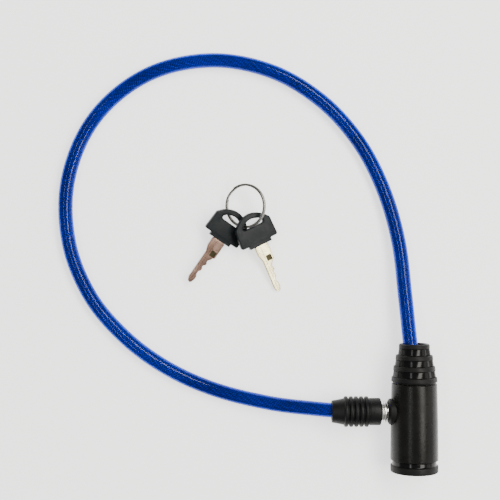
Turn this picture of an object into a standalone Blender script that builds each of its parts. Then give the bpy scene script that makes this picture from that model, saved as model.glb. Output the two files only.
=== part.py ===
"""Key-operated cable lock: lock body, looped cable with a plug-in stud, and two keys on a split ring.

The lock lies flat on its side. The lock body's long axis is +Y, the stud enters it along +X and +Z points up.
"""

import math

import bmesh
import bpy
from mathutils import Matrix, Vector
from mathutils.geometry import interpolate_bezier

# ---------------------------------------------------------------- driving dimensions (metres)
MM = 0.001
BODY_AT = Vector((0.0543807, -0.0451157, 0.0))  # point on the floor under the crossing of the axes
AXIS_HEIGHT = 12.8 * MM  # of the lock body's and the stud's axes above the floor
ROUND = 40  # facets round a large turned piece
ROUND_SMALL = 28
ROUND_TINY = 16

# Turned pieces: (radius, height) in mm about the lock body's axis or the stud's axis, down the outer side.
HOUSING_PROFILE = [
    (0, 7.4),
    (5.3, 7.4),
    (5.3, 15.0),
    (10.5, 15.0),
    (10.9, 14.6),
    (10.9, -24.5),
    (10.5, -24.9),
    (6.3, -24.9),
    (6.3, -13.8),
    (7.4, -13.8),
    (7.4, -12.6),
    (6.3, -12.6),
    (6.3, -9.6),
    (0, -9.6),
]
COVER_PROFILE = [
    (11.2, 15.2),
    (11.8, 15.2),
    (12.15, 14.9),
    (12.3, 10.0),
    (12.5, 0.0),
    (12.65, -10.0),
    (12.75, -18.0),
    (12.8, -25.3),
    (12.5, -25.7),
    (11.2, -25.7),
]
CAP_PROFILE = [
    (6.9, -25.2),
    (10.8, -25.2),
    (10.8, -26.0),
    (11.8, -26.0),
    (11.8, -28.4),
    (12.5, -28.6),
    (12.75, -29.0),
    (12.75, -31.4),
    (12.4, -32.0),
    (11.8, -32.2),
    (7.6, -32.2),
    (6.9, -31.6),
]
BOSS_PROFILE = [(4.75, 14.3), (5.6, 14.2), (6.5, 13.6), (7.0, 12.7), (7.0, 8.5), (4.75, 8.5)]
BOOT_LIP = [(6.7, 36.4), (7.2, 36.4), (7.7, 36.3), (8.0, 35.9), (8.1, 34.2), (7.9, 33.9), (7.9, 33.7)]
BOOT_RINGS = [(30.4, 9.8), (24.6, 11.05), (18.7, 12.1)]  # (top of ring, its radius)
BOOT_RING_PROFILE = [(-0.9, 0.4), (-0.2, 0.0), (0.0, -0.4), (0.25, -2.3), (-0.5, -2.6)]  # out and up
BOOT_BORE = [(11.6, 15.5), (5.3, 15.5), (5.3, 21.3), (4.4, 21.7), (4.5, 23.0), (5.1, 27.0), (5.9, 32.0)]
FERRULE_PROFILE = [
    (2.9, 21.0),
    (4.7, 21.0),
    (5.0, 20.7),
    (5.0, 13.5),
    (4.0, 13.5),
    (4.0, 10.5),
    (5.0, 10.5),
    (5.0, 8.1),
    (4.7, 7.8),
    (2.9, 7.8),
]
PLUG_PROFILE = [
    (0, -12.0),
    (5.8, -12.0),
    (6.0, -12.2),
    (6.0, -12.7),
    (5.0, -12.7),
    (5.0, -13.7),
    (6.0, -13.7),
    (6.0, -30.5),
    (6.5, -30.5),
    (6.5, -31.3),
    (6.2, -31.6),
    (0, -31.6),
]
CLIP_PROFILE = [(5.3, -12.9), (7.1, -12.9), (7.1, -13.5), (5.3, -13.5)]
CAM_PROFILE = [(0, -9.9), (5.4, -9.9), (5.6, -10.1), (5.6, -11.5), (5.4, -11.7), (0, -11.7)]
STUD_PROFILE = [
    (0, 23.0),
    (2.9, 23.0),
    (2.9, 36.6),
    (4.6, 36.6),
    (4.9, 36.3),
    (4.9, 18.0),
    (5.9, 18.0),
    (6.15, 17.8),
    (6.15, 16.95),
    (5.7, 16.75),
    (6.15, 16.55),
    (6.15, 15.7),
    (5.9, 15.5),
    (4.6, 15.4),
    (4.3, 15.1),
    (4.3, 1.7),
    (2.4, 1.5),
    (2.4, -1.5),
    (4.3, -1.7),
    (4.3, -2.7),
    (3.0, -4.6),
    (2.4, -4.9),
    (0, -4.9),
]
GRIP_CABLE_END = [(5.1, 44.4), (5.7, 44.4), (6.0, 44.1), (6.3, 42.0), (7.0, 38.6)]
GRIP_RIBS = (36.8, 34.05, 31.3, 28.55, 25.8)  # middles of the ribs
GRIP_RIB_PROFILE = [(7.1, 1.2), (8.2, 0.6), (8.2, -0.6), (7.1, -1.2)]  # from a rib's middle
GRIP_STUD_END = [(7.1, 24.3), (7.25, 23.9), (7.25, 18.7), (6.9, 18.3), (5.2, 18.3), (5.2, 37.1), (4.4, 37.4)]

STUD_BORE = 4.6 * MM
STUD_BORE_END = 6.0 * MM
STUD_BORE_START = -20.0 * MM
BOSS_POCKET_RADIUS = 7.3 * MM
BOSS_POCKET_END = -8.2 * MM
COVER_HOLE_END = -5.0 * MM

# Boxes: two opposite corners in mm from where the axes cross.
FLANGE_ROOM = ((-4.0, -9.8, -9.0), (3.4, -6.9, 3.8))
BLADE_ROOM = ((-1.6, -7.0, -9.0), (1.6, 3.2, 0.0))
WAFER_CHANNELS = [((-3.3, -24.4, -7.0), (3.3, -14.7, 7.0)), ((-7.0, -24.4, -3.3), (7.0, -14.7, 3.3))]
KEYWAY = ((-1.2, -34.0, -4.2), (1.2, -14.4, 4.2))
CAM_SLOT = ((-1.0, -13.2, -2.6), (1.0, -11.0, 2.6))
CAM_TONGUE = ((-0.7, -12.9, -2.3), (0.7, -10.5, 2.3))
CLIP_GAP = ((2.0, -15.0, -2.5), (9.0, -11.0, 2.5))
LATCH_FLANGE = ((-3.6, -8.9, -8.4), (3.0, -7.2, 1.4))
LATCH_BLADE = ((-1.2, -7.5, -8.4), (1.2, 2.8, -4.65))
LATCH_SLOT = ((-2.8, -10.0, -2.05), (0.3, -6.0, 0.05))

WAFER_COUNT = 5
WAFER_FIRST = -23.4
WAFER_PITCH = 2.0
WAFER = ((-3.0, -0.45, -5.0), (3.0, 0.45, 5.0))
WAFER_WINDOW = ((-1.6, -1.0, -2.4), (1.6, 1.0, 2.4))
WAFER_SLOT = ((-3.25, -0.7, -8.0), (3.25, 0.7, 8.0))

CAM_PIN_AT = (-1.0 * MM, -1.0 * MM)
CAM_PIN_RADIUS = 0.8 * MM
CAM_PIN_ENDS = (-10.5 * MM, -7.6 * MM)
ANCHOR_AT = (5.6 * MM, 12.0 * MM)
ANCHOR_RADIUS = 1.2 * MM
ANCHOR_HOLE_RADIUS = 1.5 * MM
ANCHOR_REACH = 9.0 * MM
ANCHOR_HOLE_REACH = 12.0 * MM

CABLE_RADIUS = 4.0 * MM
SHEATH_INNER_RADIUS = 2.9 * MM
ROPE_RADIUS = 2.6 * MM
CABLE_STEP = 13.0 * MM
ROUTE_PIECES = 24  # points between two route points
BORE_OVERRUN = 2.0 * MM
MERGE = 0.00001
SHEATH_SKIPS = (13.4 * MM, 13.9 * MM)  # length of bare rope at the boot end and at the stud end
# Middle line of the cable, from the lock body's centre (millimetres), from the fixed end to the stud.
CABLE_ROUTE = [
    (0.0, 8.6, 12.8),
    (0.0, 21.0, 12.8),
    (-2.0, 36.0, 12.1),
    (-4.2, 60.0, 9.6),
    (-7.6, 92.0, 5.8),
    (-15.8, 120.6, 4.15),
    (-29.3, 146.3, 4.05),
    (-49.8, 168.6, 4.05),
    (-77.5, 184.7, 4.05),
    (-111.0, 190.3, 4.05),
    (-145.3, 182.0, 4.05),
    (-173.0, 159.0, 4.05),
    (-187.4, 126.5, 4.05),
    (-187.4, 92.0, 4.05),
    (-175.9, 62.2, 4.05),
    (-156.8, 39.4, 4.05),
    (-133.9, 22.5, 4.05),
    (-108.1, 10.9, 4.3),
    (-78.1, 3.8, 7.2),
    (-52.0, 1.2, 11.6),
    (-37.0, 0.3, 12.8),
    (-23.4, 0.0, 12.8),
]

HEAD_THICKNESS = 3.2 * MM
HEAD_POCKET = ((-3.5, -5.0, -1.05), (3.5, 5.5, 1.05))
BLADE_THICKNESS = 1.7 * MM
BLADE_OUTLINE = [  # with its tang in the head; tip towards -y, cuts on the +x side
    (-3.2, 5.2),
    (-3.2, -1.9),
    (-3.95, -2.1),
    (-3.95, -7.0),
    (-2.6, -10.6),
    (-2.6, -27.0),
    (-1.7, -29.1),
    (-0.6, -29.6),
    (0.2, -29.0),
    (1.0, -27.0),
    (1.0, -25.0),
    (0.2, -23.6),
    (0.2, -22.0),
    (1.1, -20.7),
    (1.1, -19.5),
    (0.6, -18.9),
    (0.6, -18.0),
    (1.7, -17.0),
    (1.7, -16.0),
    (1.2, -15.3),
    (1.2, -14.4),
    (2.6, -12.6),
    (2.7, -12.0),
    (3.9, -11.3),
    (3.95, -2.1),
    (3.2, -1.9),
    (3.2, 5.2),
]
BLADE_WINDOW = [(-0.1, -8.3), (2.9, -8.3), (2.9, -11.4), (-0.1, -11.4)]
KEY_POSES = {  # middle of the head's lower edge in mm from BODY_AT; heading, roll and pitch in degrees
    "a": ((-104.2, 93.5, 6.13), -34.8, 22.33, 1.02),
    "b": ((-83.1, 91.2, 6.83), 23.0, 14.56, 11.81),
}
RING_POSE = ((-90.78, 110.68, 9.09), 5.87, -27.46, 0.0)
RING_PROFILE = [  # (radius, height) in mm about the ring's own axis; the nicks show the wire's two turns
    (10.85, 0.85),
    (11.75, 0.85),
    (11.75, 0.1),
    (11.6, 0.0),
    (11.75, -0.1),
    (11.75, -0.85),
    (10.85, -0.85),
    (10.85, -0.1),
    (11.0, 0.0),
    (10.85, 0.1),
]


# ---------------------------------------------------------------- scene, collections, materials
def clear_scene():
    for old in list(bpy.data.objects):
        bpy.data.objects.remove(old, do_unlink=True)


def make_collection(name, hidden=False):
    made = bpy.data.collections.new(name)
    bpy.context.scene.collection.children.link(made)
    made.hide_render = hidden
    return made


def make_material(name, colour, roughness, metallic=0.0):
    made = bpy.data.materials.new(name)
    made.use_nodes = True
    shader = made.node_tree.nodes["Principled BSDF"]
    shader.inputs["Base Color"].default_value = (*colour, 1.0)
    shader.inputs["Roughness"].default_value = roughness
    shader.inputs["Metallic"].default_value = metallic
    return made


clear_scene()
PARTS = make_collection("cable_lock")
CUTTERS = make_collection("cutters", hidden=True)

COVER_BLACK = make_material("cover_black", (0.012, 0.012, 0.012), 0.45)
GLOSS_BLACK = make_material("gloss_black", (0.008, 0.008, 0.008), 0.2)
RUBBER_BLACK = make_material("rubber_black", (0.014, 0.014, 0.014), 0.6)
KEY_PLASTIC = make_material("key_plastic", (0.03, 0.034, 0.038), 0.5)
SHEATH_BLUE = make_material("sheath_blue", (0.0, 0.05, 0.55), 0.15)
STEEL = make_material("steel", (0.55, 0.55, 0.53), 0.35, 1.0)
NICKEL = make_material("nickel", (0.72, 0.7, 0.65), 0.2, 1.0)
BRASS = make_material("brass", (0.62, 0.46, 0.2), 0.35, 1.0)
ZINC = make_material("cast_zinc", (0.36, 0.36, 0.37), 0.5, 1.0)


# ---------------------------------------------------------------- shape helpers
def add_object(name, data, collection, material=None):
    made = bpy.data.objects.new(name, data)
    collection.objects.link(made)
    if material:
        data.materials.append(material)
    if collection is CUTTERS:
        made.display_type = "WIRE"
        made.hide_render = True
    return made


def smooth(item, angle=math.radians(35)):
    for face in item.data.polygons:
        face.use_smooth = True
    item.data.set_sharp_from_angle(angle=angle)


def lathe(name, profile, material, collection=None, closed=False, steps=ROUND):
    """Turned piece about its own Z: profile of (radius, height) in mm, running down the outer side."""
    points = [(radius * MM, 0.0, height * MM) for radius, height in profile]
    edges = [(k, k + 1) for k in range(len(points) - 1)]
    if closed:
        edges.append((len(points) - 1, 0))
    mesh = bpy.data.meshes.new(name)
    mesh.from_pydata(points, edges, [])
    made = add_object(name, mesh, collection or PARTS, material)
    turn = made.modifiers.new("turn", "SCREW")
    turn.axis = "Z"
    turn.steps = steps
    turn.render_steps = steps
    turn.use_merge_vertices = True
    turn.merge_threshold = MERGE
    turn.use_smooth_shade = True
    return made


def block(name, corners, collection=None, material=None):
    """Box between two corners given in mm."""
    low, high = (Vector(corner) * MM for corner in corners)
    mesh = bpy.data.meshes.new(name)
    shape = bmesh.new()
    bmesh.ops.create_cube(shape, size=1.0)
    bmesh.ops.scale(shape, vec=high - low, verts=shape.verts)
    bmesh.ops.translate(shape, vec=(low + high) / 2, verts=shape.verts)
    shape.to_mesh(mesh)
    shape.free()
    return add_object(name, mesh, collection or CUTTERS, material)


def rod(name, radius, low, high, axis, at, collection=None, material=None, steps=ROUND_SMALL):
    """Cylinder along one world axis from low to high; at gives its middle in the other two axes."""
    turns = {
        "X": Matrix.Rotation(math.pi / 2, 4, "Y"),
        "Y": Matrix.Rotation(-math.pi / 2, 4, "X"),
        "Z": Matrix.Identity(4),
    }
    middle = (low + high) / 2
    centre = {"X": (middle, *at), "Y": (at[0], middle, at[1]), "Z": (*at, middle)}[axis]
    mesh = bpy.data.meshes.new(name)
    shape = bmesh.new()
    bmesh.ops.create_cone(
        shape,
        cap_ends=True,
        segments=steps,
        radius1=radius,
        radius2=radius,
        depth=high - low,
        matrix=Matrix.Translation(centre) @ turns[axis],
    )
    shape.to_mesh(mesh)
    shape.free()
    return add_object(name, mesh, collection or CUTTERS, material)


def combine(target, other, operation):
    step = target.modifiers.new(operation.lower(), "BOOLEAN")
    step.operation = operation
    step.solver = "EXACT"
    step.object = other
    return target


def cut(target, *cutters):
    for cutter in cutters:
        combine(target, cutter, "DIFFERENCE")
    return target


def fuse(target, *pieces):
    for piece in pieces:
        combine(target, piece, "UNION")
    return target


def frame(name, at, parent=None, turn=None):
    """Empty that carries pieces; at is in metres, turn a rotation matrix."""
    made = bpy.data.objects.new(name, None)
    PARTS.objects.link(made)
    made.matrix_local = Matrix.Translation(at) @ (turn or Matrix.Identity(4))
    made.parent = parent
    return made


def place(item, parent, at=(0.0, 0.0, 0.0), turn=None):
    item.parent = parent
    item.matrix_local = Matrix.Translation(at) @ (turn or Matrix.Identity(4))
    return item


ALONG_Y = Matrix.Rotation(-math.pi / 2, 4, "X")  # a turned piece's Z becomes the lock body's +Y
ALONG_MINUS_X = Matrix.Rotation(-math.pi / 2, 4, "Y")  # a turned piece's Z becomes -X, out along the stud


# ---------------------------------------------------------------- lock body
def stud_hole(name, radius, end, centre):
    return place(rod(name, radius, STUD_BORE_START, end, "X", (0.0, 0.0)), centre)


def make_housing(centre):
    housing = place(lathe("lock_housing", HOUSING_PROFILE, ZINC), centre, turn=ALONG_Y)
    reach = ANCHOR_HOLE_REACH
    rooms = [
        block("housing_flange_room", FLANGE_ROOM),
        block("housing_blade_room", BLADE_ROOM),
        rod("housing_anchor_hole", ANCHOR_HOLE_RADIUS, -reach, reach, "Z", ANCHOR_AT, steps=ROUND_TINY),
    ]
    rooms += [block(f"housing_wafers_{k + 1}", channel) for k, channel in enumerate(WAFER_CHANNELS)]
    for room in rooms:
        place(room, centre)
    bore = stud_hole("housing_stud_bore", STUD_BORE, STUD_BORE_END, centre)
    pocket = stud_hole("housing_boss_pocket", BOSS_POCKET_RADIUS, BOSS_POCKET_END, centre)
    cut(housing, bore, pocket, *rooms)


def make_cover(centre):
    cover = place(lathe("body_cover", COVER_PROFILE, COVER_BLACK, closed=True), centre, turn=ALONG_Y)
    cut(cover, stud_hole("cover_boss_hole", BOSS_POCKET_RADIUS, COVER_HOLE_END, centre))


def make_end_cap(centre):
    place(lathe("end_cap", CAP_PROFILE, GLOSS_BLACK, closed=True), centre, turn=ALONG_Y)


def make_boss(centre):
    boss = lathe("stud_boss", BOSS_PROFILE, GLOSS_BLACK, closed=True, steps=ROUND_SMALL)
    place(boss, centre, turn=ALONG_MINUS_X)


def make_boot(centre):
    profile = list(BOOT_LIP)
    for top, radius in BOOT_RINGS:
        profile += [(radius + out, top + up) for out, up in BOOT_RING_PROFILE]
    profile += BOOT_BORE
    place(lathe("cable_boot", profile, RUBBER_BLACK, closed=True), centre, turn=ALONG_Y)


def make_cable_anchor(centre):
    ferrule = lathe("rope_ferrule", FERRULE_PROFILE, STEEL, closed=True, steps=ROUND_SMALL)
    place(ferrule, centre, turn=ALONG_Y)
    pin = rod("anchor_pin", ANCHOR_RADIUS, -ANCHOR_REACH, ANCHOR_REACH, "Z", ANCHOR_AT, PARTS, STEEL, ROUND_TINY)
    place(pin, centre)
    smooth(pin)


# ---------------------------------------------------------------- key plug, wafers, cam and latch
def wafer_places():
    return [(0.0, (WAFER_FIRST + WAFER_PITCH * k) * MM, 0.0) for k in range(WAFER_COUNT)]


def make_plug(centre):
    plug = place(lathe("key_plug", PLUG_PROFILE, BRASS), centre, turn=ALONG_Y)
    keyway = place(block("plug_keyway", KEYWAY), centre)
    cam_slot = place(block("plug_cam_slot", CAM_SLOT), centre)
    slots = [place(block("plug_wafer_slot", WAFER_SLOT), centre, at) for at in wafer_places()]
    cut(plug, keyway, cam_slot, *slots)


def make_wafers(centre):
    for k, at in enumerate(wafer_places()):
        wafer = place(block(f"wafer_{k + 1}", WAFER, PARTS, BRASS), centre, at)
        window = place(block(f"wafer_window_{k + 1}", WAFER_WINDOW), centre, at)
        cut(wafer, window)


def make_clip(centre):
    clip = lathe("plug_clip", CLIP_PROFILE, STEEL, closed=True, steps=ROUND_SMALL)
    place(clip, centre, turn=ALONG_Y)
    cut(clip, place(block("clip_gap", CLIP_GAP), centre))


def make_cam(centre):
    cam = place(lathe("plug_cam", CAM_PROFILE, STEEL), centre, turn=ALONG_Y)
    tongue = place(block("cam_tongue", CAM_TONGUE), centre)
    pin = place(rod("cam_pin", CAM_PIN_RADIUS, *CAM_PIN_ENDS, "Y", CAM_PIN_AT, steps=ROUND_TINY), centre)
    fuse(cam, tongue, pin)


def make_latch(centre):
    latch = place(block("latch", LATCH_FLANGE, PARTS, STEEL), centre)
    fuse(latch, place(block("latch_blade", LATCH_BLADE), centre))
    cut(latch, place(block("latch_slot", LATCH_SLOT), centre))


# ---------------------------------------------------------------- stud and grip
def make_stud(centre):
    place(lathe("stud", STUD_PROFILE, NICKEL, steps=ROUND_SMALL), centre, turn=ALONG_MINUS_X)


def make_grip(centre):
    profile = list(GRIP_CABLE_END)
    for middle in GRIP_RIBS:
        profile += [(radius, middle + along) for radius, along in GRIP_RIB_PROFILE]
    profile += GRIP_STUD_END
    grip = lathe("stud_grip", profile, RUBBER_BLACK, closed=True, steps=ROUND_SMALL)
    place(grip, centre, turn=ALONG_MINUS_X)


# ---------------------------------------------------------------- cable
def route_line():
    """Closely spaced points along a smooth curve through the cable's route, and the length up to each."""
    knots = [Vector(point) * MM for point in CABLE_ROUTE]
    dense = []
    for k in range(len(knots) - 1):
        before = knots[max(k - 1, 0)]
        here = knots[k]
        there = knots[k + 1]
        after = knots[min(k + 2, len(knots) - 1)]
        span = (there - here).length
        lead = (there - before).normalized() * span / 3
        trail = (after - here).normalized() * span / 3
        if k == 0:
            lead = (there - here) / 3
        if k == len(knots) - 2:
            trail = (there - here) / 3
        dense += interpolate_bezier(here, here + lead, there - trail, there, ROUTE_PIECES)[:-1]
    dense.append(knots[-1])
    travelled = [0.0]
    for one, two in zip(dense, dense[1:]):
        travelled.append(travelled[-1] + (two - one).length)
    return dense, travelled


def evenly(dense, travelled, start, end, step):
    """Points between two lengths along the dense curve."""
    count = max(2, round((end - start) / step) + 1)
    picked = []
    k = 0
    for index in range(count):
        aim = start + (end - start) * index / (count - 1)
        while k < len(dense) - 2 and travelled[k + 1] < aim:
            k += 1
        share = (aim - travelled[k]) / (travelled[k + 1] - travelled[k])
        picked.append(dense[k].lerp(dense[k + 1], share))
    return picked


def tube(name, points, radius, collection, material=None):
    """Round solid tube with flat ends along a list of points."""
    curve = bpy.data.curves.new(name + "_line", "CURVE")
    curve.dimensions = "3D"
    curve.twist_mode = "MINIMUM"
    curve.bevel_depth = radius
    curve.bevel_resolution = 2
    curve.use_fill_caps = True
    line = curve.splines.new("POLY")
    line.points.add(len(points) - 1)
    for spot, point in zip(line.points, points):
        spot.co = (*point, 1.0)
    holder = bpy.data.objects.new(name + "_line", curve)
    bpy.context.scene.collection.objects.link(holder)
    bpy.context.view_layer.update()
    mesh = bpy.data.meshes.new_from_object(holder.evaluated_get(bpy.context.evaluated_depsgraph_get()))
    bpy.data.objects.remove(holder, do_unlink=True)
    shape = bmesh.new()
    shape.from_mesh(mesh)
    bmesh.ops.remove_doubles(shape, verts=shape.verts, dist=MERGE)
    bmesh.ops.recalc_face_normals(shape, faces=shape.faces)
    shape.to_mesh(mesh)
    shape.free()
    mesh.name = name
    made = add_object(name, mesh, collection, material)
    smooth(made)
    return made


def make_cable(centre_floor):
    dense, travelled = route_line()
    total = travelled[-1]
    rope = tube("wire_rope", evenly(dense, travelled, 0.0, total, CABLE_STEP), ROPE_RADIUS, PARTS, STEEL)
    start, end = SHEATH_SKIPS[0], total - SHEATH_SKIPS[1]
    points = evenly(dense, travelled, start, end, CABLE_STEP)
    sheath = tube("cable_sheath", points, CABLE_RADIUS, PARTS, SHEATH_BLUE)
    longer = [points[0] + (points[0] - points[1]).normalized() * BORE_OVERRUN]
    longer += points
    longer.append(points[-1] + (points[-1] - points[-2]).normalized() * BORE_OVERRUN)
    bore = tube("sheath_bore", longer, SHEATH_INNER_RADIUS, CUTTERS)
    for item in (rope, sheath, bore):
        place(item, centre_floor)
    combine(sheath, bore, "DIFFERENCE")


# ---------------------------------------------------------------- keys and ring
def plate(name, outline, holes, thickness, collection, material=None):
    """Flat piece from an outline in mm, with through holes, middled on its own XY plane."""
    curve = bpy.data.curves.new(name + "_outline", "CURVE")
    curve.dimensions = "2D"
    curve.fill_mode = "BOTH"
    curve.extrude = thickness / 2
    for loop in [outline, *holes]:
        line = curve.splines.new("POLY")
        line.use_cyclic_u = True
        line.points.add(len(loop) - 1)
        for spot, (x, y) in zip(line.points, loop):
            spot.co = (x * MM, y * MM, 0.0, 1.0)
    holder = bpy.data.objects.new(name + "_outline", curve)
    bpy.context.scene.collection.objects.link(holder)
    bpy.context.view_layer.update()
    mesh = bpy.data.meshes.new_from_object(holder.evaluated_get(bpy.context.evaluated_depsgraph_get()))
    bpy.data.objects.remove(holder, do_unlink=True)
    shape = bmesh.new()
    shape.from_mesh(mesh)
    bmesh.ops.remove_doubles(shape, verts=shape.verts, dist=MERGE)
    bmesh.ops.recalc_face_normals(shape, faces=shape.faces)
    shape.to_mesh(mesh)
    shape.free()
    return add_object(name, mesh, collection, material)


def arc(centre, radius, start, end, count):
    """Points on an arc in mm, angles in degrees."""
    turns = [math.radians(start + (end - start) * k / (count - 1)) for k in range(count)]
    return [(centre[0] + radius * math.cos(turn), centre[1] + radius * math.sin(turn)) for turn in turns]


def head_outline():
    """Key head seen from above: blade side down (y = 0 at the lower edge), arched top."""
    right = [(6.4, -1.8), (6.6, -1.6), (6.6, 0.15)]
    right += arc((10.0, 1.0), 1.0, -90, 0, 4)
    right += arc((9.1, 10.2), 1.5, 5, 45, 4)
    top = [(8.6, 12.9), (6.6, 14.5), (4.4, 15.7), (2.2, 16.4), (0.0, 16.7)]
    half = right + top
    return half + [(-x, y) for x, y in reversed(half[:-1])]


def slot_outline():
    """Slot for the ring: straight lower edge, arched upper edge."""
    half = [*arc((5.1, 10.4), 1.2, -90, 40, 6), (3.6, 12.75), (2.0, 13.4), (0.0, 13.6)]
    return half + [(-x, y) for x, y in reversed(half[:-1])]


def make_key(letter, pose):
    head = plate(f"key_head_{letter}", head_outline(), [slot_outline()], HEAD_THICKNESS, PARTS, KEY_PLASTIC)
    place(head, pose)
    cut(head, place(block(f"head_pocket_{letter}", HEAD_POCKET), pose))
    blade = plate(f"key_blade_{letter}", BLADE_OUTLINE, [BLADE_WINDOW], BLADE_THICKNESS, PARTS, NICKEL)
    place(blade, pose)


def make_ring(pose):
    place(lathe("split_ring", RING_PROFILE, STEEL, closed=True), pose)


def lying_pose(name, at, heading, roll, pitch):
    """Frame of a loose piece on the floor: place in mm, turns in degrees."""
    turn = Matrix.Rotation(math.radians(heading), 4, "Z")
    turn = turn @ Matrix.Rotation(math.radians(pitch), 4, "X") @ Matrix.Rotation(math.radians(roll), 4, "Y")
    return frame(name, BODY_AT + Vector(at) * MM, turn=turn)


def make_lock():
    centre = frame("body_centre", BODY_AT + Vector((0, 0, AXIS_HEIGHT)))
    make_housing(centre)
    make_cover(centre)
    make_end_cap(centre)
    make_boss(centre)
    make_boot(centre)
    make_cable_anchor(centre)
    make_plug(centre)
    make_wafers(centre)
    make_clip(centre)
    make_cam(centre)
    make_latch(centre)
    make_stud(centre)
    make_grip(centre)
    make_cable(frame("body_on_floor", BODY_AT))


def make_keys():
    for letter, pose in KEY_POSES.items():
        make_key(letter, lying_pose(f"key_{letter}_pose", *pose))
    make_ring(lying_pose("ring_pose", *RING_POSE))


make_lock()
make_keys()
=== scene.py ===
"""Cable lock: the looks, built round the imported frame."""

import math

import bmesh
import bpy
import numpy as np
from mathutils import Matrix, Vector
from mathutils.geometry import interpolate_bezier


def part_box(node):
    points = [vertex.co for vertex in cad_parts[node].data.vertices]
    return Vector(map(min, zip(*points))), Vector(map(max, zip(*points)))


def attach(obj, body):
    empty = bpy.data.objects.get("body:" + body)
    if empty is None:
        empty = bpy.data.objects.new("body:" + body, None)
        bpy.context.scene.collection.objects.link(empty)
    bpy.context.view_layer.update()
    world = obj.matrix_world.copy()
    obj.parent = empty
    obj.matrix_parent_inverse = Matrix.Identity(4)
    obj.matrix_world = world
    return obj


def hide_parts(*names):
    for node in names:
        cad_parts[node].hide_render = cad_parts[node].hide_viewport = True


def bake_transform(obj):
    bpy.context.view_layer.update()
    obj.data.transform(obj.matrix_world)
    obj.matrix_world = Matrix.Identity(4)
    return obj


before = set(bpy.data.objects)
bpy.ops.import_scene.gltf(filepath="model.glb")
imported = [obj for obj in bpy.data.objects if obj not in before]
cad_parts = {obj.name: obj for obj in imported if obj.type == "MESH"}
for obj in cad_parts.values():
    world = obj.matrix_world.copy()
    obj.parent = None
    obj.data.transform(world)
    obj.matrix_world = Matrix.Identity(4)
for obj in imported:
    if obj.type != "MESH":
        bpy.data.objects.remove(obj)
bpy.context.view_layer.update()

# ---------------------------------------------------------------- sizes and places
MM = 0.001
TURN = 2 * math.pi
COVER_LOW, COVER_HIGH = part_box("body_cover")
BOSS_LOW, BOSS_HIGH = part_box("stud_boss")
AXIS_X = (COVER_LOW.x + COVER_HIGH.x) / 2
AXIS_Y = (BOSS_LOW.y + BOSS_HIGH.y) / 2
AXIS_Z = (COVER_LOW.z + COVER_HIGH.z) / 2
FLOOR_POINT = Vector((AXIS_X, AXIS_Y, 0.0))  # under the crossing of the body's and the stud's axes
CENTRE = Vector((AXIS_X, AXIS_Y, AXIS_Z))
ALONG_Y = Matrix.Translation(CENTRE) @ Matrix.Rotation(-math.pi / 2, 4, "X")
ALONG_STUD = Matrix.Translation(CENTRE) @ Matrix.Rotation(-math.pi / 2, 4, "Y")

CAMERA_HEIGHT = 0.562
CAMERA_OFFSET = Vector((-0.0883, 0.0868, 0.0))  # from the crossing of the axes
VIEW_WIDTH = 0.275  # seen across the picture at floor level

CABLE_RADIUS = 4.0 * MM
SHEATH_INNER = 3.2 * MM
STRAND_COUNT = 6
STRAND_RADIUS = 1.0 * MM
STRAND_CENTRE = 2.05 * MM
STRAND_LAY = -26.0 * MM  # length of one turn of the strands
CORE_RADIUS = STRAND_CENTRE - STRAND_RADIUS * 0.9
SHEATH_SKIPS = (13.4 * MM, 13.9 * MM)  # left out at the route's two ends, inside the boot and the grip
SHEATH_SIDES = 40
STRAND_SIDES = 10
CORE_SIDES = 8
SPAN_STEPS = 23  # steps along the middle line from one route point to the next
# Middle line of the cable from the floor point (millimetres), as the CAD has it.
CABLE_ROUTE = [
    (0.0, 8.6, 12.8),
    (0.0, 21.0, 12.8),
    (-2.0, 36.0, 12.1),
    (-4.2, 60.0, 9.6),
    (-7.6, 92.0, 5.8),
    (-15.8, 120.6, 4.15),
    (-29.3, 146.3, 4.05),
    (-49.8, 168.6, 4.05),
    (-77.5, 184.7, 4.05),
    (-111.0, 190.3, 4.05),
    (-145.3, 182.0, 4.05),
    (-173.0, 159.0, 4.05),
    (-187.4, 126.5, 4.05),
    (-187.4, 92.0, 4.05),
    (-175.9, 62.2, 4.05),
    (-156.8, 39.4, 4.05),
    (-133.9, 22.5, 4.05),
    (-108.1, 10.9, 4.3),
    (-78.1, 3.8, 7.2),
    (-52.0, 1.2, 11.6),
    (-37.0, 0.3, 12.8),
    (-23.4, 0.0, 12.8),
]

WAFER_COUNT = 5


def add(name, data):
    """Object made from its data and linked into the scene."""
    made = bpy.data.objects.new(name, data)
    bpy.context.scene.collection.objects.link(made)
    return made


# ---------------------------------------------------------------- camera, floor and light
FLOOR_HALF = 3.0
FLOOR_DROP = 0.0002  # keeps the floor clear of what rests on it
WARM = (1.0, 0.97, 0.9)


def make_camera():
    data = bpy.data.cameras.new("camera")
    camera = add("camera", data)
    camera.location = FLOOR_POINT + CAMERA_OFFSET + Vector((0, 0, CAMERA_HEIGHT))
    data.lens = data.sensor_width * CAMERA_HEIGHT / VIEW_WIDTH
    data.clip_start = 0.01
    data.clip_end = 10.0
    bpy.context.scene.camera = camera


def make_floor():
    mesh = bpy.data.meshes.new("floor")
    shape = bmesh.new()
    bmesh.ops.create_grid(shape, x_segments=1, y_segments=1, size=FLOOR_HALF)
    shape.to_mesh(mesh)
    shape.free()
    floor = add("floor", mesh)
    floor.location.z = -FLOOR_DROP
    paint = bpy.data.materials.new("floor_white")
    paint.use_nodes = True
    shader = paint.node_tree.nodes["Principled BSDF"]
    shader.inputs["Base Color"].default_value = (0.93, 0.93, 0.93, 1.0)
    shader.inputs["Roughness"].default_value = 0.9
    shader.inputs["Specular IOR Level"].default_value = 0.1
    shader.inputs["Emission Color"].default_value = (1.0, 1.0, 1.0, 1.0)
    shader.inputs["Emission Strength"].default_value = 1.4
    mesh.materials.append(paint)


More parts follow.
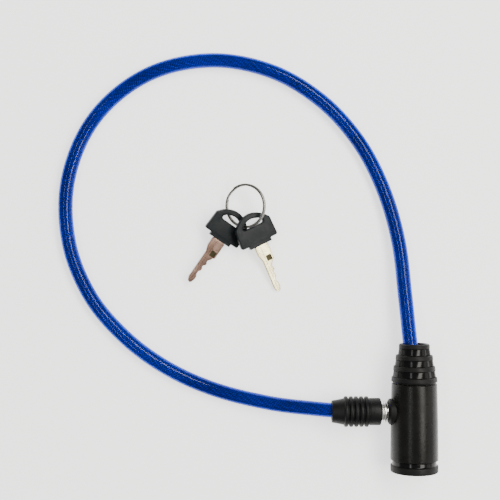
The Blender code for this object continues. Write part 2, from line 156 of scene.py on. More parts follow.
def make_light(name, place, size, power, colour=(1.0, 1.0, 1.0)):
    data = bpy.data.lights.new(name, "AREA")
    data.shape = "RECTANGLE"
    data.size, data.size_y = size
    data.energy = power
    data.color = colour
    light = add(name, data)
    light.location = place
    light.rotation_mode = "QUATERNION"
    light.rotation_quaternion = (-Vector(place)).to_track_quat("-Z", "Y")


def make_world():
    world = bpy.data.worlds.new("studio")
    world.use_nodes = True
    sky = world.node_tree.nodes["Background"]
    sky.inputs["Color"].default_value = (1.0, 1.0, 1.0, 1.0)
    sky.inputs["Strength"].default_value = 0.35
    bpy.context.scene.world = world


make_camera()
make_floor()
make_world()
make_light("softbox_right", (0.54, 0.25, 1.05), (1.4, 0.42), 21.0, WARM)
make_light("panel_right", (1.15, 0.0, 0.4), (1.2, 0.5), 3.0, WARM)
make_light("strip_left", (-0.5, 0.0, 1.05), (1.0, 0.14), 3.0)


# ---------------------------------------------------------------- materials
class Paint:
    """Principled material with helpers for the nodes that drive it."""

    def __init__(self, name, colour, roughness, metallic=0.0):
        self.made = bpy.data.materials.new(name)
        self.made.use_nodes = True
        self.tree = self.made.node_tree
        self.shader = self.tree.nodes["Principled BSDF"]
        self.put("Base Color", (*colour, 1.0))
        self.put("Roughness", roughness)
        self.put("Metallic", metallic)

    def put(self, socket, value):
        self.shader.inputs[socket].default_value = value

    def node(self, kind, **values):
        made = self.tree.nodes.new(kind)
        for name, value in values.items():
            setattr(made, name, value)
        return made

    def link(self, output, target):
        self.tree.links.new(output, target)

    def place(self, scale, turn=0.0, source="Object"):
        """Texture coordinates, stretched by scale and turned about Z."""
        where = self.node("ShaderNodeTexCoord")
        mapping = self.node("ShaderNodeMapping")
        mapping.inputs["Rotation"].default_value = (0.0, 0.0, turn)
        mapping.inputs["Scale"].default_value = scale
        self.link(where.outputs[source], mapping.inputs["Vector"])
        return mapping.outputs["Vector"]

    def noise(self, scale, detail=3.0, stretch=(1.0, 1.0, 1.0)):
        made = self.node("ShaderNodeTexNoise")
        made.inputs["Scale"].default_value = scale
        made.inputs["Detail"].default_value = detail
        self.link(self.place(stretch), made.inputs["Vector"])
        return made.outputs["Fac"]

    def ramp(self, factor, *stops):
        """Ramp between two stops, each a position and a colour or a grey value."""
        made = self.node("ShaderNodeValToRGB")
        points = made.color_ramp.elements
        for point, (spot, value) in zip(points, stops):
            point.position = spot
            point.color = (*value, 1.0) if isinstance(value, tuple) else (value, value, value, 1.0)
        self.link(factor, made.inputs["Fac"])
        return made.outputs["Color"]

    def vary_colour(self, factor, dark, light):
        self.link(self.ramp(factor, (0.35, dark), (0.65, light)), self.shader.inputs["Base Color"])

    def vary_roughness(self, factor, low, high):
        self.link(self.ramp(factor, (0.3, low), (0.7, high)), self.shader.inputs["Roughness"])

    def bump(self, factor, distance, strength=1.0, under=None):
        made = self.node("ShaderNodeBump")
        made.inputs["Strength"].default_value = strength
        made.inputs["Distance"].default_value = distance
        self.link(factor, made.inputs["Height"])
        if under:
            self.link(under, made.inputs["Normal"])
        self.link(made.outputs["Normal"], self.shader.inputs["Normal"])
        return made.outputs["Normal"]


def textured_black(name, low, high, rough, grain, depth, shine=0.16):
    """Moulded black plastic or rubber: fine grain, slight patches of sheen."""
    paint = Paint(name, low, rough[0])
    paint.put("Specular IOR Level", shine)
    paint.vary_colour(paint.noise(60.0, 4.0), low, high)
    paint.vary_roughness(paint.noise(220.0, 5.0), *rough)
    coarse = paint.bump(paint.noise(grain / 4, 2.0), depth * 2, 0.4)
    paint.bump(paint.noise(grain, 2.0), depth, 0.8, coarse)
    return paint.made


def metal(name, low, high, rough, stretch=(1.0, 1.0, 1.0), scale=900.0, depth=0.00002):
    """Plated or machined metal with fine tool marks along one direction."""
    paint = Paint(name, low, rough[0], 1.0)
    marks = paint.noise(scale, 3.0, stretch)
    paint.vary_colour(paint.noise(150.0, 4.0), low, high)
    paint.vary_roughness(marks, *rough)
    paint.bump(marks, depth, 0.5)
    return paint.made


def sheath_paint():
    paint = Paint("sheath_blue", (0.02, 0.16, 0.92), 0.04)
    paint.put("Transmission Weight", 0.86)
    paint.put("IOR", 1.24)
    paint.put("Specular IOR Level", 0.7)
    paint.vary_colour(paint.noise(25.0, 2.0), (0.001, 0.035, 0.42), (0.0025, 0.059, 0.58))
    paint.vary_roughness(paint.noise(300.0, 4.0), 0.06, 0.13)
    paint.bump(paint.noise(180.0, 2.0), 0.00004, 0.25)
    return paint.made


def strand_paint():
    """Steel strand: fine wires laid the other way round, from the strand's own UV map; the dark bands are
    painted shade in the grooves between the wires.
    """
    paint = Paint("rope_steel", (0.5, 0.52, 0.56), 0.35, 1.0)
    wires = paint.node("ShaderNodeTexWave", wave_type="BANDS", bands_direction="X")
    wires.inputs["Scale"].default_value = 1.0
    paint.link(paint.place((2.2, 0.9, 1.0), 0.5, "UV"), wires.inputs["Vector"])
    # painted shade: the colour darkens in the grooves between the wires, where the bump dips
    paint.vary_colour(wires.outputs["Fac"], (0.22, 0.25, 0.3), (0.88, 0.9, 0.94))
    paint.vary_roughness(paint.noise(400.0, 3.0), 0.25, 0.45)
    paint.bump(wires.outputs["Fac"], 0.0001, 0.7)
    return paint.made


COVER_PAINT = textured_black(
    "cover_black", (0.004, 0.004, 0.0035), (0.007, 0.0068, 0.006), (0.24, 0.32), 5200.0, 0.000025
)
MATTE_PAINT = textured_black(
    "boot_matte", (0.004, 0.004, 0.004), (0.007, 0.007, 0.007), (0.42, 0.55), 4200.0, 0.00003
)
GLOSS_PAINT = textured_black(
    "gloss_black", (0.002, 0.002, 0.002), (0.003, 0.003, 0.003), (0.12, 0.2), 900.0, 0.00001, 0.2
)
GRIP_PAINT = textured_black(
    "grip_rubber", (0.0035, 0.004, 0.004), (0.006, 0.0065, 0.0065), (0.36, 0.5), 3800.0, 0.00004
)
HEAD_PAINT = textured_black(
    "key_plastic", (0.006, 0.0085, 0.010), (0.011, 0.014, 0.016), (0.36, 0.48), 3600.0, 0.00004
)
SHEATH_PAINT = sheath_paint()
STRAND_PAINT = strand_paint()
NICKEL_PAINT = metal("stud_nickel", (0.74, 0.73, 0.70), (0.86, 0.85, 0.82), (0.1, 0.2), (9.0, 1.0, 1.0))
MILLED = (1.0, 7.0, 1.0)  # tool marks run along the blade's X
# The two keys' blades are coloured apart: key a darker and pinkish, key b pale yellow.
BLADE_PAINTS = {
    "a": metal(
        "blade_a_dark_pinkish", (0.17, 0.105, 0.08), (0.32, 0.21, 0.165), (0.26, 0.42), MILLED, 500.0, 0.00004
    ),
    "b": metal("blade_b_pale_yellow", (0.40, 0.36, 0.20), (0.58, 0.53, 0.33), (0.2, 0.34), MILLED, 500.0),
}
RING_PAINT = metal("ring_steel", (0.20, 0.19, 0.17), (0.34, 0.33, 0.30), (0.2, 0.36))
# painted shade: near-black brass for the floor and walls of each blade's window recess
WINDOW_SHADE_PAINT = metal("window_painted_shade", (0.035, 0.03, 0.017), (0.07, 0.06, 0.034), (0.4, 0.55))
BRASS_PAINT = metal("machined_brass", (0.56, 0.42, 0.19), (0.7, 0.54, 0.27), (0.22, 0.38), (1.0, 8.0, 1.0))
STEEL_PAINT = metal("plain_steel", (0.42, 0.42, 0.41), (0.58, 0.58, 0.56), (0.3, 0.45))
ZINC_PAINT = metal("cast_zinc", (0.28, 0.28, 0.29), (0.4, 0.4, 0.41), (0.45, 0.65), depth=0.00006)


# ---------------------------------------------------------------- mesh helpers
SHARP = 38.0  # degrees between faces from which an edge stays sharp


def shade(mesh, sharp=SHARP):
    for face in mesh.polygons:
        face.use_smooth = True
    mesh.set_sharp_from_angle(angle=math.radians(sharp))


def finish_mesh(name, mesh, *paints, sharp=SHARP):
    """Object from a mesh: smooth shading with sharp edges above an angle, and its materials."""
    mesh.validate()
    shade(mesh, sharp)
    for paint in paints:
        mesh.materials.append(paint)
    return add(name, mesh)


def mended(mesh, weld=0.0, fill=False):
    """The mesh with near points welded, open ends closed and every face turned outwards."""
    shape = bmesh.new()
    shape.from_mesh(mesh)
    if weld:
        bmesh.ops.remove_doubles(shape, verts=shape.verts, dist=weld)
    if fill:
        bmesh.ops.holes_fill(shape, edges=[edge for edge in shape.edges if edge.is_boundary], sides=0)
    bmesh.ops.recalc_face_normals(shape, faces=shape.faces)
    shape.to_mesh(mesh)
    shape.free()
    return mesh


def evaluated_mesh(item):
    """A mesh of the item as its modifiers or its curve settings make it."""
    bpy.context.view_layer.update()
    graph = bpy.context.evaluated_depsgraph_get()
    return bpy.data.meshes.new_from_object(item.evaluated_get(graph))


def eased(share):
    """Share cut to 0 to 1, with a soft start and a soft end."""
    share = np.clip(share, 0.0, 1.0)
    return share * share * (3 - 2 * share)


CORNER_STEPS = 4
CORNER_SHARE = 0.48  # the most that a rounded corner takes of the edges beside it


def rounded(profile, closed=False):
    """Profile of (x, y) or (x, y, corner radius) with its corners turned into curves."""
    points = []
    count = len(profile)
    for k, spot in enumerate(profile):
        radius = spot[2] if len(spot) > 2 else 0.0
        here = Vector(spot[:2])
        inside = closed or 0 < k < count - 1
        if radius <= 0 or not inside:
            points.append(tuple(here))
            continue
        before = Vector(profile[k - 1][:2]) - here
        after = Vector(profile[(k + 1) % count][:2]) - here
        opening = before.angle(after)
        room = min(before.length, after.length) * CORNER_SHARE
        reach = min(radius / math.tan(opening / 2), room)
        start = here + before.normalized() * reach
        end = here + after.normalized() * reach
        for step in range(CORNER_STEPS + 1):
            share = step / CORNER_STEPS
            points.append(tuple(start.lerp(here, share).lerp(here.lerp(end, share), share)))
    return points


def grid_mesh(name, rows, closed=False, uv=None):
    """Quad mesh over rows of points. Each row is a ring, and closed joins the last row to the first."""
    rows = np.asarray(rows, float)
    high, wide = rows.shape[:2]
    faces = []
    corners = []
    for i in range(high if closed else high - 1):
        above = (i + 1) % high
        for j in range(wide):
            beside = (j + 1) % wide
            faces.append((i * wide + j, i * wide + beside, above * wide + beside, above * wide + j))
            if uv:
                corners += [uv(i, j), uv(i, j + 1), uv(i + 1, j + 1), uv(i + 1, j)]
    mesh = bpy.data.meshes.new(name)
    mesh.from_pydata(rows.reshape(-1, 3).tolist(), [], faces)
    if uv:
        layer = mesh.uv_layers.new(name="UVMap")
        layer.data.foreach_set("uv", np.array(corners, np.float32).ravel())
    return mesh


def turned(name, profile, place, *paints, closed=False, steps=128, swell=None):
    """Turned piece: profile of (radius, height[, corner radius]) in mm about place's Z.

    swell(radius, height, angle) gives the radius where the piece isn't round.
    """
    line = rounded(profile, closed)
    rows = []
    for radius, height in line:
        ring = []
        for j in range(steps):
            angle = TURN * j / steps
            r = swell(radius, height, angle) if swell else radius
            ring.append((r * MM * math.cos(angle), r * MM * math.sin(angle), height * MM))
        rows.append(ring)
    mesh = mended(grid_mesh(name, rows, closed), weld=1e-7)
    made = finish_mesh(name, mesh, *paints)
    made.matrix_world = place
    return made


def keep(item, body, node):
    """The item rides on a body and stands for a CAD node, which is hidden."""
    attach(item, body)
    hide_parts(node)


def cut(item, cutter):
    """Takes the cutter's shape out of the item for good."""
    step = item.modifiers.new("cut", "BOOLEAN")
    step.operation = "DIFFERENCE"
    step.solver = "EXACT"
    step.object = cutter
    mesh = evaluated_mesh(item)
    item.modifiers.clear()
    item.data = mesh
    shade(mesh)
    bpy.data.objects.remove(cutter, do_unlink=True)


def cut_box(item, low, high, place):
    """Takes a box out of the item; its corners are in mm in the frame of place."""
    mesh = bpy.data.meshes.new("cutter")
    shape = bmesh.new()
    bmesh.ops.create_cube(shape, size=1.0)
    bmesh.ops.scale(shape, vec=(Vector(high) - Vector(low)) * MM, verts=shape.verts)
    bmesh.ops.translate(shape, vec=(Vector(low) + Vector(high)) * MM / 2, verts=shape.verts)
    shape.to_mesh(mesh)
    shape.free()
    cutter = add("cutter", mesh)
    cutter.matrix_world = place
    cut(item, cutter)


# ---------------------------------------------------------------- cable
def route_line(step):
    """Evenly spaced points along the cable's middle line, with the length at each route point."""
    knots = [FLOOR_POINT + Vector(point) * MM for point in CABLE_ROUTE]
    last = len(knots) - 1
    dense = []
    for k in range(last):
        here, there = knots[k], knots[k + 1]
        before, after = knots[max(k - 1, 0)], knots[min(k + 2, last)]
        span = (there - here).length
        lead = (there - here) / 3 if k == 0 else (there - before).normalized() * span / 3
        trail = (there - here) / 3 if k == last - 1 else (after - here).normalized() * span / 3
        dense += interpolate_bezier(here, here + lead, there - trail, there, SPAN_STEPS + 1)[:-1]
    dense.append(knots[-1])
    dense = np.array([tuple(point) for point in dense])
    travelled = np.concatenate([[0.0], np.cumsum(np.linalg.norm(np.diff(dense, axis=0), axis=1))])
    at_knots = travelled[::SPAN_STEPS]
    spots = np.linspace(SHEATH_SKIPS[0], travelled[-1] - SHEATH_SKIPS[1], int(travelled[-1] / step))
    line = np.stack([np.interp(spots, travelled, dense[:, axis]) for axis in range(3)], axis=1)
    return line, spots, at_knots


def carried_frames(points):
    """A side and a lift vector at each point, carried along the line without twisting."""
    ahead = np.gradient(points, axis=0)
    ahead /= np.linalg.norm(ahead, axis=1, keepdims=True)
    side = np.cross(ahead[0], (0, 0, 1.0))
    sides, lifts = [], []
    for way in ahead:
        side = side - way * side.dot(way)
        side = side / np.linalg.norm(side)
        sides.append(side)
        lifts.append(np.cross(side, way))
    return np.array(sides), np.array(lifts)


def tube_rows(points, sides, lifts, radius, steps):
    angles = np.arange(steps) * TURN / steps
    across = np.cos(angles)[None, :, None] * sides[:, None] + np.sin(angles)[None, :, None] * lifts[:, None]
    return points[:, None] + radius * across


def sheath_mesh(points, sides, lifts):
    """Hollow vinyl tube: outer wall, inner wall and the rims between them."""
    outer = tube_rows(points, sides, lifts, CABLE_RADIUS, SHEATH_SIDES)
    inner = tube_rows(points, sides, lifts, SHEATH_INNER, SHEATH_SIDES)[::-1]
    return mended(grid_mesh("sheath", np.concatenate([outer, inner]), closed=True))


def strands_mesh(points, sides, lifts, spots):
    """Outer strands laid round a core, in one mesh; the UV map runs along and round each strand."""
    parts = []
    for k in range(STRAND_COUNT):
        turn = TURN * (k / STRAND_COUNT + spots / STRAND_LAY)
        out = np.cos(turn)[:, None] * sides + np.sin(turn)[:, None] * lifts
        middle = points + STRAND_CENTRE * out
        parts.append((middle, STRAND_RADIUS, STRAND_SIDES))
    parts.append((points, CORE_RADIUS, CORE_SIDES))
    whole = bmesh.new()
    for middle, radius, steps in parts:
        side, lift = carried_frames(middle)
        rows = tube_rows(middle, side, lift, radius, steps)
        length = spots / (TURN * radius)
        mesh = grid_mesh("strand", rows, uv=lambda i, j: (length[i], j / steps))
        mended(mesh, fill=True)
        whole.from_mesh(mesh)
        bpy.data.meshes.remove(mesh)
    made = bpy.data.meshes.new("strands")
    whole.to_mesh(made)
    whole.free()
    return made


def give(piece):
    """Bakes the piece's place into its mesh and reads out its points; nothing more is done with them."""
    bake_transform(piece)
    coords = np.empty(len(piece.data.vertices) * 3)
    piece.data.vertices.foreach_get("co", coords)
    coords = coords.reshape(-1, 3)


def make_cable():
    points, spots, at_knots = route_line(1.0 * MM)
    sides, lifts = carried_frames(points)
    sheath = finish_mesh("cable_vinyl", sheath_mesh(points, sides, lifts), SHEATH_PAINT, sharp=60)
    strands = finish_mesh("rope_strands", strands_mesh(points, sides, lifts, spots), STRAND_PAINT, sharp=60)
    give(sheath)
    give(strands)
    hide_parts("cable_sheath")
    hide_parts("wire_rope")
    return sheath, strands, points


# ---------------------------------------------------------------- lock body
def make_cover():
    profile = [
        (11.2, 15.2),
        (12.15, 15.2, 1.1),
        (12.3, 10.0),
        (12.5, 0.0),
        (12.65, -10.0),
        (12.8, -25.7, 0.35),
        (11.2, -25.7),
    ]
    cover = turned("cover", profile, ALONG_Y, COVER_PAINT, closed=True, steps=192)
    bore = [(0, 5.0), (7.3, 5.0), (7.3, 16.0), (0, 16.0)]
    cut(cover, turned("cover_hole", bore, ALONG_STUD, COVER_PAINT, steps=96))
    keep(cover, "lock_body", "body_cover")


CAP_RIM = 12.0  # the cap is matt outside this radius, mm


def make_end_cap():
    profile = [
        (6.9, -25.2),
        (10.8, -25.2),
        (10.8, -26.0),
        (11.8, -26.0, 0.3),
        (11.8, -28.3, 0.6),
        (12.78, -28.5, 0.6),
        (12.78, -32.2, 1.7),
        (11.2, -32.2, 0.6),
        (10.6, -31.9, 0.3),
        (7.9, -31.9, 0.3),
        (7.4, -32.2, 0.3),
        (6.9, -31.8, 0.3),
    ]
    cap = turned("cap", profile, ALONG_Y, GLOSS_PAINT, MATTE_PAINT, closed=True, steps=160)
    for face in cap.data.polygons:
        face.material_index = 1 if math.hypot(face.center.x, face.center.y) > CAP_RIM * MM else 0
    keep(cap, "lock_body", "end_cap")


def make_boss():
    profile = [
        (4.75, 8.5),
        (4.75, 13.4),
        (5.1, 14.2, 0.4),
        (5.7, 14.3, 0.5),
        (7.0, 13.4, 0.9),
        (7.0, 8.5),
    ]
    boss = turned("boss", profile, ALONG_STUD, MATTE_PAINT, closed=True, steps=112)
    keep(boss, "lock_body", "stud_boss")


BOOT_RINGS = [(30.4, 27.9, 9.8), (24.6, 22.1, 11.05), (18.7, 16.2, 12.1)]  # top, bottom and radius, mm
BOOT_FLARE = 0.28  # how much wider a ring is at its bottom
BOOT_NECK = 34.0  # bottom of the neck
# A groove above each ring: where it begins, and its two ends.
BOOT_CEILINGS = [BOOT_NECK] + [low for _, low, _ in BOOT_RINGS]
BOOT_GROOVES = [(ceiling, top) for ceiling, (top, _, _) in zip(BOOT_CEILINGS, BOOT_RINGS)]
BOOT_DIP = 1.5  # depth of a groove in its windows
BOOT_SIDE_DIP = 0.45  # depth of a groove at the sides
BOOT_WINDOW = math.radians(52)  # half width of each groove's window, seen from the top or the bottom
BOOT_FADE = math.radians(7)  # angle over which a window runs out
BOOT_WALL = 7.0  # along the grooves, only the outer wall lies outside this radius
BOOT_LIP = 0.1  # height of the step at each end of a groove


def boot_groove(radius, height, angle):
    """Grooves between the rings are deep windows on the top and the bottom, shallow at the sides."""
    for ceiling, floor in BOOT_GROOVES:
        if floor + 1.5 * BOOT_LIP < height < ceiling - 1.5 * BOOT_LIP and radius > BOOT_WALL:
            facing = min(abs(math.remainder(angle - middle, TURN)) for middle in (math.pi / 2, -math.pi / 2))
            return radius + (BOOT_DIP - BOOT_SIDE_DIP) * eased((facing - BOOT_WINDOW) / BOOT_FADE)
    return radius


def make_boot():
    outer = [(6.6, 36.4, 0.3), (7.7, 36.4, 0.5), (8.2, 35.9, 0.5), (8.3, BOOT_NECK, 0.3)]
    above = 8.0
    for (top, low, radius), ceiling in zip(BOOT_RINGS, BOOT_CEILINGS):
        base = (above + radius) / 2 - BOOT_DIP
        above = radius + BOOT_FLARE
        outer += [(base - 0.25, ceiling - BOOT_LIP, 0.25), (base, (ceiling + top) / 2)]
        outer += [(base + 0.25, top + BOOT_LIP, 0.25), (radius, top, 0.45), (above, low, 0.45)]
    outer += [(11.5, 16.1, 0.2), (11.5, 15.5, 0.2)]
    inner = [(5.3, 15.5), (5.3, 21.3), (4.4, 21.7), (4.5, 23.0), (5.1, 27.0), (5.9, 32.0)]
    paints = (MATTE_PAINT, GLOSS_PAINT)
    boot = turned("boot", outer + inner, ALONG_Y, *paints, closed=True, steps=192, swell=boot_groove)
    for face in boot.data.polygons:
        middle = face.center
        radius = math.hypot(middle.x, middle.y) / MM
        height = middle.z / MM
        aside = abs(abs(math.atan2(middle.y, middle.x)) - math.pi / 2)
        in_groove = any(floor + BOOT_LIP < height < ceiling - BOOT_LIP for ceiling, floor in BOOT_GROOVES)
        face.material_index = 1 if in_groove and radius > BOOT_WALL and aside < BOOT_WINDOW else 0
    keep(boot, "lock_body", "cable_boot")


# Slots through the plug, mm: half width, half height and the two ends along the body.
KEYWAY = (1.2, 4.2, -34.0, -14.4)
CAM_SLOT = (1.0, 2.6, -13.2, -11.0)
WAFER_SLOT = (3.25, 8.0, 0.7)  # half width, half height and half length round each wafer
PLUG_FACE = -30.3  # the plug is plated beyond this


def plug_slots():
    yield KEYWAY
    yield CAM_SLOT
    wide, tall, reach = WAFER_SLOT
    for k in range(WAFER_COUNT):
        low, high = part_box(f"wafer_{k + 1}")
        middle = ((low.y + high.y) / 2 - AXIS_Y) / MM
        yield wide, tall, middle - reach, middle + reach


def make_plug():
    profile = [
        (0, -12.0),
        (6.0, -12.0, 0.2),
        (6.0, -12.7),
        (5.0, -12.7),
        (5.0, -13.7),
        (6.0, -13.7),
        (6.0, -30.5),
        (6.5, -30.5),
        (6.5, -31.6, 0.4),
        (5.0, -31.6, 0.1),
        (4.8, -31.35, 0.1),
        (0, -31.35),
    ]
    plug = turned("plug_barrel", profile, ALONG_Y, BRASS_PAINT, NICKEL_PAINT, steps=128)
    for wide, tall, low, high in plug_slots():
        cut_box(plug, (-wide, low, -tall), (wide, high, tall), Matrix.Translation(CENTRE))
    for face in plug.data.polygons:
        spot = (plug.matrix_world @ face.center) - CENTRE
        face.material_index = 1 if spot.y < PLUG_FACE * MM else 0
    keep(plug, "plug", "key_plug")


# ---------------------------------------------------------------- stud and grip
def make_stud():
    profile = [
        (0, -4.9),
        (2.4, -4.9, 0.4),
        (4.3, -2.7, 0.4),
        (4.3, -1.7, 0.2),
        (2.4, -1.5, 0.3),
        (2.4, 1.5, 0.3),
        (4.3, 1.7, 0.2),
        (4.3, 15.0, 0.3),
        (5.0, 15.4, 0.2),
        (6.15, 15.5, 0.45),
        (6.15, 16.75, 0.45),
        (5.5, 16.9, 0.2),
        (6.0, 17.05, 0.4),
        (5.8, 18.1, 0.4),
        (4.9, 18.2, 0.1),
        (4.9, 36.6, 0.2),
        (2.9, 36.6, 0.1),
        (2.9, 23.0),
        (0, 23.0),
    ]
    stud = turned("stud_pin", profile, ALONG_STUD, NICKEL_PAINT, steps=128)
    keep(stud, "stud", "stud")
    return stud


GRIP_RIBS = 5
RIB_FIRST = 36.8  # middle of the outermost rib, mm from the body's axis
RIB_STEP = 2.75


def make_grip():
    profile = [(5.1, 44.4, 0.2), (5.9, 44.4, 0.5), (6.3, 42.0), (7.05, 38.4, 0.3)]
    for k in range(GRIP_RIBS):
        middle = RIB_FIRST - RIB_STEP * k
        profile += [(7.1, middle + 1.1, 0.4), (8.2, middle + 0.85, 0.7)]
        profile += [(8.2, middle - 0.85, 0.7), (7.1, middle - 1.1, 0.4)]
    profile += [(7.1, 24.3, 0.2), (7.3, 23.9, 0.3), (7.3, 18.3, 0.5)]
    profile += [(5.2, 18.3, 0.1), (5.2, 37.1), (4.4, 37.4, 0.2)]
    grip = turned("grip", profile, ALONG_STUD, GRIP_PAINT, closed=True, steps=160)
    keep(grip, "stud", "stud_grip")
    return grip


# ---------------------------------------------------------------- keys and ring
HEAD_THICKNESS = 3.2 * MM
HEAD_EDGE = 0.55 * MM
BLADE_THICKNESS = 1.7 * MM
BLADE_EDGE = 0.25 * MM
# Spaces in a head, mm: one for the blade's root, and the steps above and below the tongue round it.
HEAD_ROOMS = [((-3.5, -5.0, -1.05), (3.5, 5.5, 1.05))]
HEAD_ROOMS += [((-8.0, -5.0, side * 2.15 - 0.85), (8.0, -0.1, side * 2.15 + 0.85)) for side in (-1, 1)]
# Recesses in both faces of a blade, mm: two corners and a depth.
BLADE_GROOVE = ((-1.75, -30.0), (-0.75, -2.6), 0.35)
BLADE_WINDOW = ((-0.2, -11.5), (3.0, -8.2), 0.55)
SLACK = 0.05  # mm allowed when the faces of a recess are told from the others


def arc(centre, radius, start, end, count):
    """Points on an arc in mm, angles in degrees."""
    turns = [math.radians(start + (end - start) * k / (count - 1)) for k in range(count)]
    return [(centre[0] + radius * math.cos(turn), centre[1] + radius * math.sin(turn)) for turn in turns]


def mirrored(half):
    return half + [(-x, y) for x, y in reversed(half[:-1])]


def head_outline():
    right = [(6.4, -1.8), (6.6, -1.6), (6.6, -0.3), (6.8, 0.0)]
    right += [*arc((10.0, 1.0), 1.0, -90, 0, 9), *arc((9.1, 10.2), 1.5, 5, 45, 8)]
    right += [(8.6, 12.9), (7.7, 13.78), (6.6, 14.55), (5.5, 15.2), (4.4, 15.7)]
    right += [(3.3, 16.13), (2.2, 16.42), (1.1, 16.62), (0.0, 16.7)]
    return mirrored(right)


def slot_outline():
    right = [*arc((5.1, 10.4), 1.2, -90, 40, 12)]
    right += [(4.9, 12.2), (3.6, 12.78), (2.0, 13.35), (1.0, 13.54), (0.0, 13.6)]
    return mirrored(right)


BLADE_OUTLINE = [
    (-3.2, 5.2),
    (-3.2, -1.9, 0.2),
    (-3.95, -2.1, 0.3),
    (-3.95, -7.0, 1.6),
    (-2.6, -10.6, 1.6),
    (-2.6, -27.0, 1.0),
    (-1.7, -29.1, 0.9),
    (-0.6, -29.6, 0.5),
    (0.2, -29.0, 0.5),
    (1.0, -27.0, 0.5),
    (1.0, -25.0, 0.5),
    (0.2, -23.6, 0.5),
    (0.2, -22.0, 0.5),
    (1.1, -20.7, 0.5),
    (1.1, -19.5, 0.4),
    (0.6, -18.9, 0.3),
    (0.6, -18.0, 0.3),
    (1.7, -17.0, 0.4),
    (1.7, -16.0, 0.4),
    (1.2, -15.3, 0.3),
    (1.2, -14.4, 0.4),
    (2.6, -12.6, 0.4),
    (2.7, -12.0, 0.3),
    (3.9, -11.3, 0.4),
    (3.95, -2.1, 0.3),
    (3.2, -1.9, 0.2),
    (3.2, 5.2),
]
KEYS = {  # place of the head's lower edge (mm from the floor point), heading, roll and pitch in degrees
    "a": ((-104.2, 93.5, 6.13), -34.8, 22.33, 1.02),
    "b": ((-83.1, 91.2, 6.83), 23.0, 14.56, 11.81),
}
RING_AT = (-90.78, 110.68, 9.09)
RING_TURNS = (5.87, -27.46)  # heading and roll in degrees
RING_RADIUS = 11.45
RING_WIRE = (1.3, 0.85)  # across and along the ring's axis, mm
RING_CORNERS = 0.6  # 1 would make the wire's section an ellipse, and 0 a rectangle
RING_GAP = 0.06  # between the two turns, mm
RING_JOG = math.radians(34)  # stretch over which the wire steps from one turn to the next
RING_JOG_AT = 2.4  # where round the ring the middle of the jog lies, radians
RING_END = RING_JOG / 2 + 0.02  # angle between each end of the wire and the middle of the jog
RING_ROWS = 361
RING_SIDES = 16


def bevelled_plate(name, loops, thickness, edge, *paints):
    """Flat piece from outlines in mm (the first is the outer one), with rounded edges."""
    curve = bpy.data.curves.new(name, "CURVE")
    curve.dimensions = "2D"
    curve.fill_mode = "BOTH"
    curve.extrude = thickness / 2 - edge
    curve.bevel_depth = edge
    curve.bevel_resolution = 3
    curve.offset = -edge
    for loop in loops:
        line = curve.splines.new("POLY")
        line.use_cyclic_u = True
        line.points.add(len(loop) - 1)
        for spot, (x, y) in zip(line.points, loop):
            spot.co = (x * MM, y * MM, 0.0, 1.0)
    holder = add(name, curve)
    mesh = evaluated_mesh(holder)
    bpy.data.objects.remove(holder, do_unlink=True)
    mesh.materials.clear()
    return finish_mesh(name, mended(mesh, weld=2e-6), *paints, sharp=32)


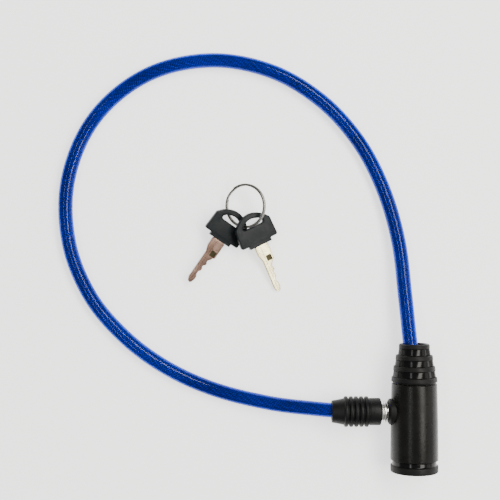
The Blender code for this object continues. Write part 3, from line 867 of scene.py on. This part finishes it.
def make_key(letter):
    at, heading, roll, pitch = KEYS[letter]
    turn = Matrix.Rotation(math.radians(heading), 4, "Z") @ Matrix.Rotation(math.radians(pitch), 4, "X")
    turn = turn @ Matrix.Rotation(math.radians(roll), 4, "Y")
    pose = Matrix.Translation(FLOOR_POINT + Vector(at) * MM) @ turn
    outlines = [head_outline(), slot_outline()]
    head = bevelled_plate(f"head_{letter}", outlines, HEAD_THICKNESS, HEAD_EDGE, HEAD_PAINT)
    head.matrix_world = pose
    for low, high in HEAD_ROOMS:
        cut_box(head, low, high, pose)
    keep(head, f"key_{letter}", f"key_head_{letter}")
    outlines = [rounded(BLADE_OUTLINE, True)]
    paints = (BLADE_PAINTS[letter], WINDOW_SHADE_PAINT)
    blade = bevelled_plate(f"blade_{letter}", outlines, BLADE_THICKNESS, BLADE_EDGE, *paints)
    blade.matrix_world = pose
    surface = BLADE_THICKNESS / MM / 2
    for level in (-surface, surface):
        for low, high, depth in (BLADE_GROOVE, BLADE_WINDOW):
            cut_box(blade, (*low, level - depth), (*high, level + depth), pose)
    # Faces inside the window recess take the near-black brass, as painted shade in the recess.
    (left, bottom), (right, top), _ = BLADE_WINDOW
    for face in blade.data.polygons:
        spot = face.center / MM
        over = left - SLACK < spot.x < right + SLACK and bottom - SLACK < spot.y < top + SLACK
        face.material_index = 1 if over and abs(spot.z) < surface - SLACK else 0
    keep(blade, f"key_{letter}", f"key_blade_{letter}")


def squared_off(share):
    return math.copysign(abs(share) ** RING_CORNERS, share)


def make_ring():
    heading, roll = (math.radians(turn) for turn in RING_TURNS)
    pose = Matrix.Translation(FLOOR_POINT + Vector(RING_AT) * MM)
    pose = pose @ Matrix.Rotation(heading, 4, "Z") @ Matrix.Rotation(roll, 4, "Y")
    wide, deep = RING_WIRE
    rows = []
    for angle in np.linspace(RING_END, 2 * TURN - RING_END, RING_ROWS):
        rise = (eased((angle - TURN) / RING_JOG + 0.5) - 0.5) * (deep + RING_GAP)
        place = angle + RING_JOG_AT
        row = []
        for k in range(RING_SIDES):
            turn = TURN * k / RING_SIDES
            radius = RING_RADIUS + squared_off(math.cos(turn)) * wide / 2
            height = rise + squared_off(math.sin(turn)) * deep / 2
            spot = (radius * math.cos(place), radius * math.sin(place), height)
            row.append([value * MM for value in spot])
        rows.append(row)
    mesh = mended(grid_mesh("ring", rows), fill=True)
    ring = finish_mesh("ring_wire", mesh, RING_PAINT, sharp=50)
    ring.matrix_world = pose
    keep(ring, "ring", "split_ring")


# ---------------------------------------------------------------- inside pieces kept from the CAD
INSIDE_PAINTS = {
    "lock_housing": ZINC_PAINT,
    "rope_ferrule": STEEL_PAINT,
    "anchor_pin": STEEL_PAINT,
    "plug_clip": STEEL_PAINT,
    "plug_cam": STEEL_PAINT,
    "latch": STEEL_PAINT,
    **{f"wafer_{k + 1}": BRASS_PAINT for k in range(WAFER_COUNT)},
}


def paint_inside():
    for name, paint in INSIDE_PAINTS.items():
        item = bpy.data.objects[name]
        for slot in item.material_slots:
            slot.material = paint


SHEATH, STRANDS, LINE = make_cable()
make_cover()
make_end_cap()
make_boss()
make_boot()
make_plug()
STUD = make_stud()
GRIP = make_grip()
make_key("a")
make_key("b")
make_ring()
paint_inside()
